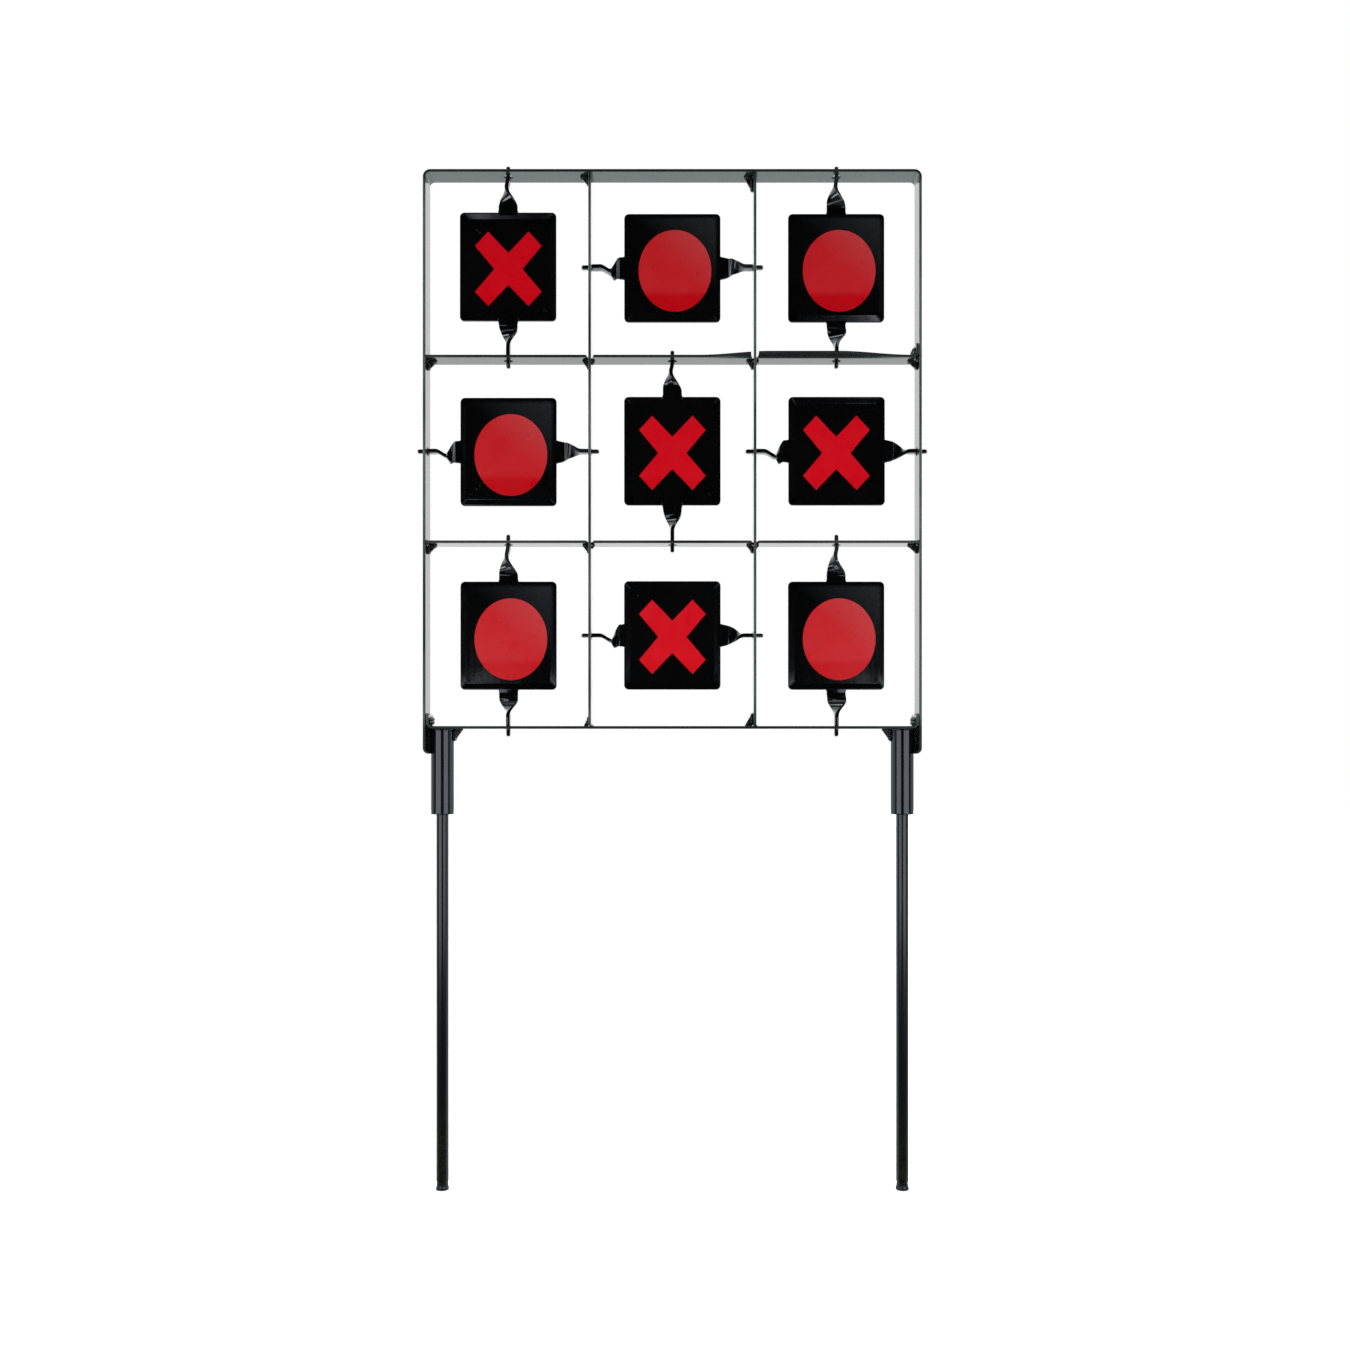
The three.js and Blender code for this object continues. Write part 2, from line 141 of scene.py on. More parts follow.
def combine(obj, tools, operation):
    """Joins tools to a closed mesh, or cuts them out of it, and removes the tools."""
    for tool in tools:
        change = obj.modifiers.new(operation, "BOOLEAN")
        change.operation = operation
        change.solver = "EXACT"
        change.object = tool
    bake_modifiers(obj)
    for tool in tools:
        bpy.data.objects.remove(tool)
    return obj


def loft(rings, closed_ends=True):
    """Vertices and faces of a tube through rings that all have the same number of points."""
    count = len(rings[0])
    verts = [p for ring in rings for p in ring]
    faces = []
    for i in range(len(rings) - 1):
        for j in range(count):
            k = (j + 1) % count
            faces.append((i * count + j, i * count + k, (i + 1) * count + k, (i + 1) * count + j))
    if closed_ends:
        faces.append(tuple(range(count - 1, -1, -1)))
        faces.append(tuple(range((len(rings) - 1) * count, len(rings) * count)))
    return verts, faces


def add_part(parts, verts, faces):
    """Adds a shell to a list of verts and a list of faces."""
    start = len(parts[0])
    parts[0].extend(verts)
    parts[1].extend(tuple(i + start for i in face) for face in faces)


def rounded_section(width, height, r, steps=3):
    """A rounded rectangle round the origin, as (u, v) points."""
    points = []
    for quarter in range(4):
        cu = (width / 2 - r) * (1 if quarter in (0, 3) else -1)
        cv = (height / 2 - r) * (1 if quarter in (0, 1) else -1)
        for i in range(steps + 1):
            a = QUARTER * (quarter + i / steps)
            points.append((cu + r * math.cos(a), cv + r * math.sin(a)))
    return points


def show(obj, body, material, node=None, place=None):
    obj.data.materials.clear()
    obj.data.materials.append(material)
    if place:
        obj.matrix_world = place
    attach(obj, body)
    if node:
        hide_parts(node)
    return obj


# ---------------------------------------------------------------- materials
class Nodes:
    """A material's node tree, with one short call for each kind of node."""

    def __init__(self, name):
        self.material = bpy.data.materials.new(name)
        self.material.use_nodes = True
        self.tree = self.material.node_tree
        self.shader = self.tree.nodes["Principled BSDF"]
        self.place = self.add("ShaderNodeTexCoord").outputs["Object"]

    def add(self, kind, **settings):
        node = self.tree.nodes.new(kind)
        for key, value in settings.items():
            setattr(node, key, value)
        return node

    def link(self, source, target):
        self.tree.links.new(source, target)

    def stretched(self, scale, where=None):
        mapping = self.add("ShaderNodeMapping")
        mapping.inputs["Scale"].default_value = scale
        self.link(where or self.place, mapping.inputs["Vector"])
        return mapping.outputs["Vector"]

    def own_place(self):
        """The place on the piece, shifted by an amount of the piece's own, so that no two match."""
        shift = self.add("ShaderNodeMath", operation="MULTIPLY")
        self.link(self.add("ShaderNodeObjectInfo").outputs["Random"], shift.inputs[0])
        shift.inputs[1].default_value = 7.0
        moved = self.add("ShaderNodeVectorMath", operation="ADD")
        self.link(self.place, moved.inputs[0])
        self.link(shift.outputs["Value"], moved.inputs[1])
        return moved.outputs["Vector"]

    def noise(self, scale, detail=3, rough=0.5, where=None):
        node = self.add("ShaderNodeTexNoise")
        node.inputs["Scale"].default_value = scale
        node.inputs["Detail"].default_value = detail
        node.inputs["Roughness"].default_value = rough
        self.link(where or self.place, node.inputs["Vector"])
        return node.outputs["Fac"]

    def ramp(self, value, low, high, to_low=0.0, to_high=1.0):
        node = self.add("ShaderNodeMapRange")
        node.inputs["From Min"].default_value = low
        node.inputs["From Max"].default_value = high
        node.inputs["To Min"].default_value = to_low
        node.inputs["To Max"].default_value = to_high
        self.link(value, node.inputs["Value"])
        return node.outputs["Result"]

    def math(self, operation, first, second):
        node = self.add("ShaderNodeMath", operation=operation)
        for socket, value in zip(node.inputs, (first, second)):
            if isinstance(value, (int, float)):
                socket.default_value = value
            else:
                self.link(value, socket)
        return node.outputs["Value"]

    def mix(self, factor, first, second):
        node = self.add("ShaderNodeMix", data_type="RGBA")
        self.link(factor, node.inputs["Factor"])
        for name, value in (("A", first), ("B", second)):
            socket = [s for s in node.inputs if s.name == name and s.type == "RGBA"][0]
            if isinstance(value, tuple):
                socket.default_value = (*value, 1)
            else:
                self.link(value, socket)
        return [s for s in node.outputs if s.type == "RGBA"][0]

    def bump(self, height, distance, strength=1.0, under=None):
        node = self.add("ShaderNodeBump")
        node.inputs["Strength"].default_value = strength
        node.inputs["Distance"].default_value = distance
        self.link(height, node.inputs["Height"])
        if under:
            self.link(under, node.inputs["Normal"])
        return node.outputs["Normal"]

    def along(self, axis):
        split = self.add("ShaderNodeSeparateXYZ")
        self.link(self.place, split.inputs["Vector"])
        return split.outputs[axis]

    def height(self, low, high):
        """0 at a height of low and 1 at high, in metres above the piece's origin."""
        return self.ramp(self.along("Z"), low, high)

    def rise(self, low, high, top):
        """0 below a height of low on the piece, growing to top at high."""
        return self.ramp(self.along("Z"), low, high, 0.0, top)

    def off_mitres(self, mid, deep):
        """mid over a plate, but deep along the four corner mitres of its border, where dust sits."""
        across = self.math("ABSOLUTE", self.along("X"), 0.0)
        up = self.math("ABSOLUTE", self.along("Z"), 0.0)
        aside = self.math("SUBTRACT", self.math("SUBTRACT", up, across), (PLATE_H - PLATE_W) / 2)
        beside = self.ramp(self.math("ABSOLUTE", aside, 0.0), 2.2 * MM, 3.8 * MM, deep, mid)
        inward = (PLATE_W + PLATE_H) / 2 - 2 * BORDER
        inside = self.ramp(self.math("ADD", across, up), inward, inward - 2 * MM, deep, mid)
        return self.math("MAXIMUM", beside, inside)

    def on_front(self):
        """1 on a plate's round-marked side and 0 on the other."""
        return self.ramp(self.along("Y"), -0.4 * MM, -1.6 * MM)

    def upper_corner(self, low, high):
        """0 to 1 across a plate, from its middle towards its upper right corner."""
        reach = self.math("ADD", self.along("Z"), self.math("MULTIPLY", self.along("X"), 0.9))
        return self.ramp(reach, low, high)

    def front_edge(self):
        """1 on the front edge of a bar, but not on the topmost bar."""
        front = self.ramp(self.along("Y"), 0.4 * MM - BAR_W / 2, 0.1 * MM - BAR_W / 2)
        return self.math("MULTIPLY", front, self.ramp(self.along("Z"), Z_TOP - 6 * MM, Z_TOP - 12 * MM))

    def edges(self, low, high):
        """1 on outer edges where the paint wears off, from the shape's own sharpness."""
        return self.ramp(self.add("ShaderNodeNewGeometry").outputs["Pointiness"], low, high)

    def flanks(self, middle, side):
        """middle where a surface faces the eye, changing to side where it turns away."""
        facing = self.add("ShaderNodeLayerWeight").outputs["Facing"]
        return self.ramp(facing, 0.30, 0.62, middle, side)

    def set(self, **values):
        for name, value in values.items():
            socket = self.shader.inputs[name.replace("_", " ")]
            if isinstance(value, (int, float, tuple)):
                socket.default_value = value
            else:
                self.link(value, socket)


def frame_paint(name, rub_and_highlight):
    """Sprayed gloss black with a green cast: fine orange peel, dusty patches, rubbed front edges whose light
    colour is also a painted highlight.
    """
    n = Nodes(name)
    patches = n.ramp(n.noise(35, 4, 0.6), 0.35, 0.75)
    tone = n.mix(patches, (0.0080, 0.0105, 0.0100), (0.0135, 0.0170, 0.0163))
    above = n.ramp(n.along("Z"), Z_BOTTOM - 1 * MM, Z_BOTTOM + 10 * MM)
    # rubbed front edges painted light grey, partly wear and partly a painted highlight; none on the topmost
    # bar or low down
    rubbed = n.math("MULTIPLY", n.front_edge(), n.ramp(n.noise(11, 3), 0.36, 0.64))
    rubbed = n.math("MULTIPLY", rubbed, above)
    tone = n.mix(n.math("MULTIPLY", rubbed, rub_and_highlight), tone, (0.115, 0.118, 0.117))
    nicks = n.math("MULTIPLY", n.edges(0.60, 0.70), n.ramp(n.noise(300, 3), 0.70, 0.76))
    colour = n.mix(nicks, tone, (0.030, 0.031, 0.030))
    rough = n.ramp(n.noise(120, 4), 0.3, 0.7, 0.09, 0.17)
    peel = n.bump(n.noise(900, 2), 0.000005)
    waves = n.bump(n.noise(60, 2), 0.00006, 0.5, peel)
    n.set(Base_Color=colour, Roughness=n.math("ADD", rough, n.math("MULTIPLY", nicks, 0.3)), Normal=waves)
    n.set(IOR=1.5, Specular_Tint=(0.58, 1.0, 0.90, 1), Specular_IOR_Level=n.ramp(above, 0.0, 1.0, 0.12, 0.5))
    return n.material


def weld_paint():
    """Paint over weld metal: near black, coarse and pitted, with glossy high spots."""
    n = Nodes("weld_paint")
    grain = n.noise(1100, 4, 0.6)
    colour = n.mix(n.ramp(n.noise(260, 4, 0.6), 0.4, 0.7), (0.0022, 0.0026, 0.0028), (0.0085, 0.0105, 0.0105))
    lumps = n.bump(n.noise(420, 3), 0.00045, 0.8)
    pits = n.bump(grain, 0.00010, 0.7, lumps)
    n.set(Base_Color=colour, Roughness=n.ramp(grain, 0.35, 0.65, 0.16, 0.42), Normal=pits)
    n.set(IOR=1.5, Specular_Tint=(0.80, 1.0, 0.95, 1))
    return n.material


def drawn_paint(name, dull):
    """Gloss blue-black on drawn rod and tube: long draw lines, and soil low on the legs."""
    n = Nodes(name)
    lines = n.noise(1, 4, 0.6, n.stretched((900, 900, 6)))
    high = n.ramp(n.along("Z"), 0.12, 0.30)
    fine = n.mix(high, (0.0022, 0.0023, 0.0018), (0.0036, 0.0058, 0.0085))
    tone = n.mix(n.ramp(lines, 0.3, 0.7, 0.0, 0.7), (0.0014, 0.0024, 0.0036), fine)
    low = n.math("SUBTRACT", 1.0, n.height(0.010, 0.100))
    soil = n.math("MULTIPLY", low, n.ramp(n.noise(160, 5, 0.65), 0.30, 0.58))
    foot = n.math("SUBTRACT", 1.0, n.height(0.005, 0.011))
    colour = n.mix(foot, n.mix(soil, tone, (0.0060, 0.0066, 0.0006)), (0.0018, 0.0018, 0.0014))
    rough = n.math("ADD", n.ramp(lines, 0.3, 0.7, dull, dull + 0.07), n.math("MULTIPLY", soil, 0.12))
    peel = n.bump(n.noise(800, 2), 0.000010)
    drawn = n.bump(lines, 0.000012, 0.6, peel)
    n.set(Base_Color=colour, Roughness=rough, Normal=drawn)
    n.set(IOR=1.5, Specular_Tint=(0.82, 0.92, 1.0, 1), Specular_IOR_Level=n.flanks(0.5, 0.03))
    return n.material


def plate_enamel():
    """Deep gloss black enamel: fine orange peel, faint wipe marks, rubbed edges.

    The round-marked face carries a painted sheen, lighter towards one upper corner.
    """
    n = Nodes("plate_enamel")
    own = n.own_place()
    wipes = n.noise(1, 5, 0.65, n.stretched((700, 60, 55), own))
    haze = n.ramp(n.noise(18, 3, 0.5, own), 0.4, 0.75, 0.0, 0.6)
    tone = n.mix(haze, (0.0007, 0.0007, 0.0009), (0.0019, 0.0019, 0.0023))
    # painted sheen: the round-marked face is lightened towards its upper right corner
    painted_sheen = n.math("MULTIPLY", n.on_front(), n.upper_corner(0.012, 0.085))
    colour = n.mix(painted_sheen, tone, (0.0165, 0.0182, 0.0205))
    rubbed = n.math("MULTIPLY", n.edges(0.56, 0.64), n.ramp(n.noise(500, 3, 0.5, own), 0.62, 0.68))
    colour = n.mix(rubbed, colour, (0.030, 0.030, 0.031))
    peel = n.bump(n.noise(650, 2, 0.5, own), 0.000012)
    waves = n.bump(n.noise(70, 2, 0.5, own), 0.00010, 0.5, peel)
    n.set(Base_Color=colour, Roughness=n.ramp(wipes, 0.35, 0.7, 0.09, 0.15), Normal=waves)
    n.set(IOR=1.5, Specular_Tint=(0.85, 0.92, 1.0, 1), Specular_IOR_Level=n.off_mitres(0.5, 0.06))
    return n.material


def red_print(name, strong, pale_and_sheen, painted_sheen):
    """Satin red ink: uneven cover, fine mesh texture, faint scuffs, and a painted sheen that turns all but
    the lowest part lighter and greyer, most towards one upper corner.
    """
    n = Nodes(name)
    own = n.own_place()
    cover = n.ramp(n.noise(55, 4, 0.55, own), 0.3, 0.7, 0.65, 1.0)
    # painted sheen: above a line low on the mark the ink turns lighter and greyer, varied by the uneven cover
    tone = n.mix(n.math("MULTIPLY", cover, n.rise(-0.0265, -0.0215, 1.0)), strong, pale_and_sheen)
    # painted sheen, stronger towards the upper right corner
    tone = n.mix(n.upper_corner(0.005, 0.060), tone, painted_sheen)
    scuffs = n.ramp(n.noise(1, 4, 0.6, n.stretched((40, 400, 900), own)), 0.71, 0.77, 0.0, 0.15)
    colour = n.mix(scuffs, tone, tuple(c * 0.8 + 0.004 for c in pale_and_sheen))
    grain = n.bump(n.noise(1500, 2, 0.5, own), 0.000008)
    waves = n.bump(n.noise(80, 2, 0.5, own), 0.00010, 0.5, grain)
    n.set(Base_Color=colour, Roughness=n.ramp(n.noise(90, 3, 0.5, own), 0.3, 0.7, 0.26, 0.36), Normal=waves)
    n.set(IOR=1.45, Specular_IOR_Level=0.3)
    return n.material


def floor_white():
    n = Nodes("floor_white")
    tone = n.mix(n.ramp(n.noise(6, 4), 0.3, 0.7), (0.86, 0.86, 0.86), (0.89, 0.89, 0.885))
    n.set(Base_Color=tone, Roughness=0.75, Normal=n.bump(n.noise(240, 3), 0.0003, 0.3))
    return n.material


# the number after each name sets how light the front edges are painted: wear and painted highlight together
PAINT = frame_paint("frame_paint", 0.40)
LIP_PAINT = frame_paint("lip_paint", 0.12)
UPRIGHT_PAINT = frame_paint("upright_paint", 0.70)
WELD = weld_paint()
LEG_PAINT = drawn_paint("leg_paint", 0.17)
SOCKET_PAINT = drawn_paint("socket_paint", 0.07)
ENAMEL = plate_enamel()
# the second colour of each red is the ink under a painted sheen, the third a stronger painted sheen for the
# upper corner
ROUND_RED = red_print("round_red", (0.42, 0.0012, 0.0050), (0.455, 0.0135, 0.0185), (0.43, 0.0440, 0.0480))
CROSS_RED = red_print("cross_red", (0.50, 0.0008, 0.0060), (0.53, 0.0016, 0.0085), (0.52, 0.0020, 0.0095))


# ---------------------------------------------------------------- bars
def arc(centre, r, start_deg, end_deg, steps=10):
    angles = [math.radians(start_deg + (end_deg - start_deg) * i / steps) for i in range(steps + 1)]
    return [Vector((centre[0] + r * math.cos(a), 0, centre[1] + r * math.sin(a))) for a in angles]


def bar(name, path, divided=False):
    """A flat bar with rolled edges, bent along a path in the X-Z plane."""
    section = rounded_section(BAR_W, BAR_T, 0.8 * MM, 5)
    if divided:
        inner = [-BAR_W / 2 + i * MM for i in (1.4, 2, 2.6, 3.3, 4, 4.7, 5.5, 7)]
        quarter = len(section) // 4
        upper = [(u, BAR_T / 2) for u in reversed(inner)]
        lower = [(u, -BAR_T / 2) for u in inner]
        section = section[:quarter] + upper + section[quarter:3 * quarter] + lower + section[3 * quarter:]
    rings = []
    for i, point in enumerate(path):
        before = (point - path[i - 1]).normalized() if i else (path[1] - point).normalized()
        after = (path[i + 1] - point).normalized() if i < len(path) - 1 else before
        along = (before + after).normalized()
        side = Vector((-along.z, 0, along.x)) / along.dot(before)
        rings.append([point + side * v + Vector((0, u, 0)) for u, v in section])
    return make_object(name, *loft(rings))


def pin_drill(x, z, level):
    """A drill with a slight countersink at both faces of the bar."""
    r, half, steps = 4 * MM, BAR_T / 2, 40
    flare, inside, outside = r + 0.9 * MM, half - 0.3 * MM, half + 0.6 * MM
    rings = []
    for radius, out in ((flare, outside), (r, inside), (r, -inside), (flare, -outside)):
        angles = [TAU * i / steps for i in range(steps)]
        rings.append([Vector((radius * math.cos(a), radius * math.sin(a), out)) for a in angles])
    turn = Matrix.Rotation(QUARTER, 4, "Y") if level else Matrix.Identity(4)
    rings = [[Matrix.Translation((x, 0, z)) @ turn @ p for p in ring] for ring in rings]
    return make_object("drill", *loft(rings))


def lip_height(x):
    """How far the upper crossbar's front edge is bent up at x."""
    rising = smoothstep(24 * MM, 88 * MM, x)
    falling = smoothstep(150 * MM, 216 * MM, x)
    return 3.9 * MM * rising * (1 - falling)


def bend_lip(obj):
    """Bends the front edge of a crossbar upwards along its right-hand part."""
    width = 3.4 * MM
    root = -BAR_W / 2 + width
    for vertex in obj.data.vertices:
        reach = max(root - vertex.co.y, 0) / width
        vertex.co.z += lip_height(vertex.co.x) * reach ** 1.25


def prism(name, outline, low, high, axis):
    """A block with the given outline, from low to high along the axis 'y' or 'z'."""
    def at(a, b, c):
        return Vector((a, b, c)) if axis == "z" else Vector((a, c, b))
    rings = [[at(a, b, c) for a, b in outline] for c in (low, high)]
    return make_object(name, *loft(rings))


def crossing_notch(x, z):
    """The flared notch in a crossbar, open at the front edge."""
    mouth, throat = 3.75 * MM, BAR_T / 2 + GAP
    front, back = -BAR_W / 2 - 1 * MM, GAP
    outline = [(x - mouth, front), (x + mouth, front), (x + throat, back), (x - throat, back)]
    return prism("notch", outline, z - 6.5 * MM, z + 6.5 * MM, "z")


def crossing_slot(x, z):
    """The slot in the back half of an upright."""
    half, reach = BAR_T / 2 + GAP, 4 * MM
    outline = [(x - reach, z - half), (x + reach, z - half), (x + reach, z + half), (x - reach, z + half)]
    return prism("slot", outline, -GAP, BAR_W, "y")


def outer_hoop():
    r, w = 5.5 * MM, HALF_WIDTH
    tail_r = 3.95 * MM
    tail_z = HOOP_LOW.z + tail_r + BAR_T / 2
    path = arc((-w + tail_r, tail_z), tail_r, -90, -180)
    path += arc((-w + r, Z_TOP - r), r, 180, 90)
    path += arc((w - r, Z_TOP - r), r, 90, 0)
    path += arc((w - tail_r, tail_z), tail_r, 0, -90)
    drills = [pin_drill(cell_x(c), Z_TOP, False) for c in (0, 2)]
    drills += [pin_drill(x, cell_z(1), True) for x in (-w, w)]
    return combine(bar("hoop_bar", path), drills, "DIFFERENCE")


def inner_upright(side, x):
    path = [Vector((x, 0, UPRIGHT_LOW.z)), Vector((x, 0, UPRIGHT_HIGH.z))]
    tools = [crossing_slot(x, z) for z in (Z_LOWER, Z_UPPER)]
    tools += [pin_drill(x, cell_z(row), True) for row in range(3)]
    return combine(bar(f"upright_bar_{side}", path), tools, "DIFFERENCE")


def crossbar(level, z, left_tab, right_tab, crossed, columns, bent=False):
    low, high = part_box(f"crossbar_{level}")
    r = 4.5 * MM
    tab_x = high.x - BAR_T / 2
    path = []
    if left_tab:
        path += [Vector((-tab_x, 0, z + TAB_TOP))] + arc((-tab_x + r, z + r), r, 180, 270)
    else:
        path += [Vector((low.x, 0, z))]
    if bent:
        path += [Vector((i * 4 * MM, 0, z)) for i in range(5, 54)]
    if right_tab:
        path += arc((tab_x - r, z + r), r, -90, 0) + [Vector((tab_x, 0, z + TAB_TOP))]
    else:
        path += [Vector((high.x, 0, z))]
    tools = [crossing_notch(x, z) for x in (-UPRIGHT_X, UPRIGHT_X)] if crossed else []
    tools += [pin_drill(cell_x(c), z, False) for c in columns]
    piece = bar(f"cross_bar_{level}", path, bent)
    if bent:
        bend_lip(piece)
    return combine(piece, tools, "DIFFERENCE")


def build_bars():
    bars = {
        "outer_hoop": outer_hoop(),
        "inner_upright_left": inner_upright("left", -UPRIGHT_X),
        "inner_upright_right": inner_upright("right", UPRIGHT_X),
        "crossbar_upper": crossbar("upper", Z_UPPER, False, True, True, (0, 1, 2), bent=True),
        "crossbar_lower": crossbar("lower", Z_LOWER, False, False, True, (0, 1, 2)),
        "crossbar_bottom": crossbar("bottom", Z_BOTTOM, True, True, False, (0, 2)),
    }
    for node, piece in bars.items():
        tidy_mesh(piece)
        paint = PAINT if node.startswith("crossbar") else UPRIGHT_PAINT
        if node == "crossbar_upper":
            paint = LIP_PAINT
        show(flatten(piece), "frame", paint, node)
    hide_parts("crossbar_upper", "upper_lip_left", "upper_lip_right")


# ---------------------------------------------------------------- welds and gussets
def bead(start, end, r, seed):
    """A lumpy weld bead, rippled along its length and thin at both ends."""
    along = end - start
    length = along.length
    along.normalize()
    across = Vector((0, 1, 0)) if abs(along.y) < 0.9 else Vector((1, 0, 0))
    other = along.cross(across)
    steps = max(int(length / (0.35 * MM)), 6)
    rings = []
    for i in range(steps + 1):
        s = i / steps
        taper = math.sqrt(max(1 - (2 * s - 1) ** 4, 0.02))
        ripple = 1 + 0.12 * math.sin(TAU * s * length / (1.9 * MM) + seed)
        ring = []
        for j in range(14):
            a = TAU * j / 14
            cos_a, sin_a = math.cos(a), math.sin(a)
            lump = 1 + 0.34 * noise.noise(Vector((s * length * 420, cos_a * 1.3, sin_a * 1.3 + seed)))
            reach = r * taper * ripple * lump
            ring.append(start + along * (s * length) + (across * cos_a + other * sin_a) * reach)
        rings.append(ring)
    return loft(rings)


def gusset(node, seed):
    """A triangular plate with broken edges, welded along both legs on both of its faces."""
    low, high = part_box(node)
    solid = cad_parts[node].data
    ends = [v.co for v in solid.vertices]
    corner_x = low.x if sum(abs(p.x - low.x) < 1e-5 for p in ends) > len(ends) / 2 else high.x
    corner_z = low.z if sum(abs(p.z - low.z) < 1e-5 for p in ends) > len(ends) / 2 else high.z
    far_x = low.x + high.x - corner_x
    far_z = low.z + high.z - corner_z
    outline = [(corner_x, corner_z), (far_x, corner_z), (corner_x, far_z)]
    plate = prism(f"web_{node}", outline, low.y, high.y, "y")
    soften = plate.modifiers.new("edges", "BEVEL")
    soften.width = 0.5 * MM
    soften.segments = 3
    bake_modifiers(plate)
    parts = ([v.co.copy() for v in plate.data.vertices], [tuple(p.vertices) for p in plate.data.polygons])
    bpy.data.objects.remove(plate)
    short = min(abs(far_x - corner_x), abs(far_z - corner_z))
    r = 0.75 * MM + 0.10 * short
    inward = Vector((math.copysign(0.4 * r, far_x - corner_x), 0, math.copysign(0.4 * r, far_z - corner_z)))
    for face, y in enumerate((low.y, high.y)):
        corner = Vector((corner_x, y, corner_z)) + inward
        along_bar = Vector((corner_x + (far_x - corner_x) * 0.92, y, corner.z))
        along_upright = Vector((corner.x, y, corner_z + (far_z - corner_z) * 0.92))
        add_part(parts, *bead(corner, along_bar, r, seed + face))
        add_part(parts, *bead(corner, along_upright, r, seed + face + 5))
    return make_object(f"welded_{node}", *parts, sharp_deg=55)


def tail_weld(side, sign):
    """Runs of weld metal laid over one another between the hoop's tail and the socket."""
    low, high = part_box(f"tail_weld_{side}")
    x = sign * (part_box(f"socket_{side}")[1 if sign > 0 else 0].x * sign + HALF_WIDTH - BAR_T / 2) / 2
    parts = ([], [])
    runs = 8
    for i in range(runs):
        z = low.z + (high.z - low.z) * i / (runs - 0.5)
        sway = 0.35 * MM * noise.noise(Vector((i * 2.3, sign, 4)))
        reach = 5.2 * MM + 0.8 * MM * noise.noise(Vector((i * 1.7, sign, 9)))
        start, end = Vector((x + sway, -reach, z)), Vector((x - sway, reach, z + 0.6 * MM * sign))
        add_part(parts, *bead(start, end, 1.95 * MM, 400 + 10 * sign + i))
    return make_object(f"weld_fill_{side}", *parts, sharp_deg=55)


def build_gussets():
    nodes = sorted(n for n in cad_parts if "gusset" in n or "_rib_" in n)
    for seed, node in enumerate(nodes):
        show(gusset(node, seed * 10), "frame", WELD, node)
    for side, sign in (("left", -1), ("right", 1)):
        show(tail_weld(side, sign), "frame", WELD, f"tail_weld_{side}")


def build_bar_welds():
    """Beads across the bar where a crossbar or a tail of the hoop meets its neighbour."""
    parts = ([], [])
    reach = BAR_W / 2 - 2 * MM
    inside = HALF_WIDTH - BAR_T / 2
    up = BAR_T / 2
    spots = [(-inside, Z_UPPER + up), (-inside, Z_LOWER + up), (inside, Z_LOWER + up)]
    spots += [(-inside, Z_BOTTOM + TAB_TOP), (inside, Z_BOTTOM + TAB_TOP), (inside, Z_UPPER + TAB_TOP)]
    for x in (-UPRIGHT_X, UPRIGHT_X):
        spots += [(x + BAR_T / 2, Z_TOP - up), (x + BAR_T / 2, Z_BOTTOM + up)]
    for seed, (x, z) in enumerate(spots):
        add_part(parts, *bead(Vector((x, -reach, z)), Vector((x, reach, z)), 1.3 * MM, 300 + seed))
    for x, z in ((-inside, Z_BOTTOM), (inside, Z_BOTTOM), (inside, Z_UPPER)):
        for lift in (4.6 * MM, 7.4 * MM):
            at = x - math.copysign(BAR_T + 0.5 * MM, x)
            start, end = Vector((at, -10 * MM, z + lift)), Vector((at, 10 * MM, z + lift))
            add_part(parts, *bead(start, end, 1.9 * MM, 340 + lift))
    for x in (1 * MM - inside, inside - 1 * MM):
        z = Z_BOTTOM - 0.2 * MM
        add_part(parts, *bead(Vector((x, -10.5 * MM, z)), Vector((x, 10 * MM, z)), 1.8 * MM, 360 + x))
    for sign in (-1, 1):
        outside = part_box("socket_right")[1].x
        for lift, r in ((BAR_T * 0.6, 1.3 * MM), (BAR_T, 1.0 * MM)):
            x, z = sign * (outside + 0.2 * MM), HOOP_LOW.z + lift
            add_part(parts, *bead(Vector((x, -5 * MM, z)), Vector((x, 5 * MM, z)), r, 320 + sign))
    show(make_object("bar_welds", *parts, sharp_deg=55), "frame", WELD)


# ---------------------------------------------------------------- sockets and legs
def turned(name, profile, x, steps=64, closed=True):
    """A body turned about an upright line at x, from (radius, height) points."""
    angles = [TAU * i / steps for i in range(steps)]
    rings = []
    for r, z in profile:
        rings.append([Vector((x + r * math.cos(a), r * math.sin(a), z)) for a in angles])
    if closed:
        return make_object(name, *loft(rings))
    verts, faces = loft(rings + [rings[0]], closed_ends=False)
    count = len(rings) * steps
    faces = [tuple(i % count for i in face) for face in faces]
    return make_object(name, verts[:count], faces)


def socket(side):
    low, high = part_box(f"socket_{side}")
    x = (low.x + high.x) / 2
    outer, inner, ease = (high.x - low.x) / 2, 5.8 * MM, 0.5 * MM
    profile = [
        (inner, low.z + ease), (inner + ease * 0.3, low.z + ease * 0.3), (inner + ease, low.z),
        (outer - ease, low.z), (outer - ease * 0.3, low.z + ease * 0.3), (outer, low.z + ease),
        (outer, low.z + 2 * ease), (outer, high.z - 2 * ease),
        (outer, high.z - ease), (outer - ease, high.z), (inner + ease, high.z), (inner, high.z - ease),
        (inner, high.z - 2 * ease), (inner, low.z + 2 * ease),
    ]
    tube = turned(f"socket_tube_{side}", profile, x, closed=False)
    parts = ([v.co.copy() for v in tube.data.vertices], [tuple(p.vertices) for p in tube.data.polygons])
    bpy.data.objects.remove(tube)
    add_part(parts, *rim_weld(x, high.z, outer))
    return make_object(f"welded_socket_{side}", *parts)


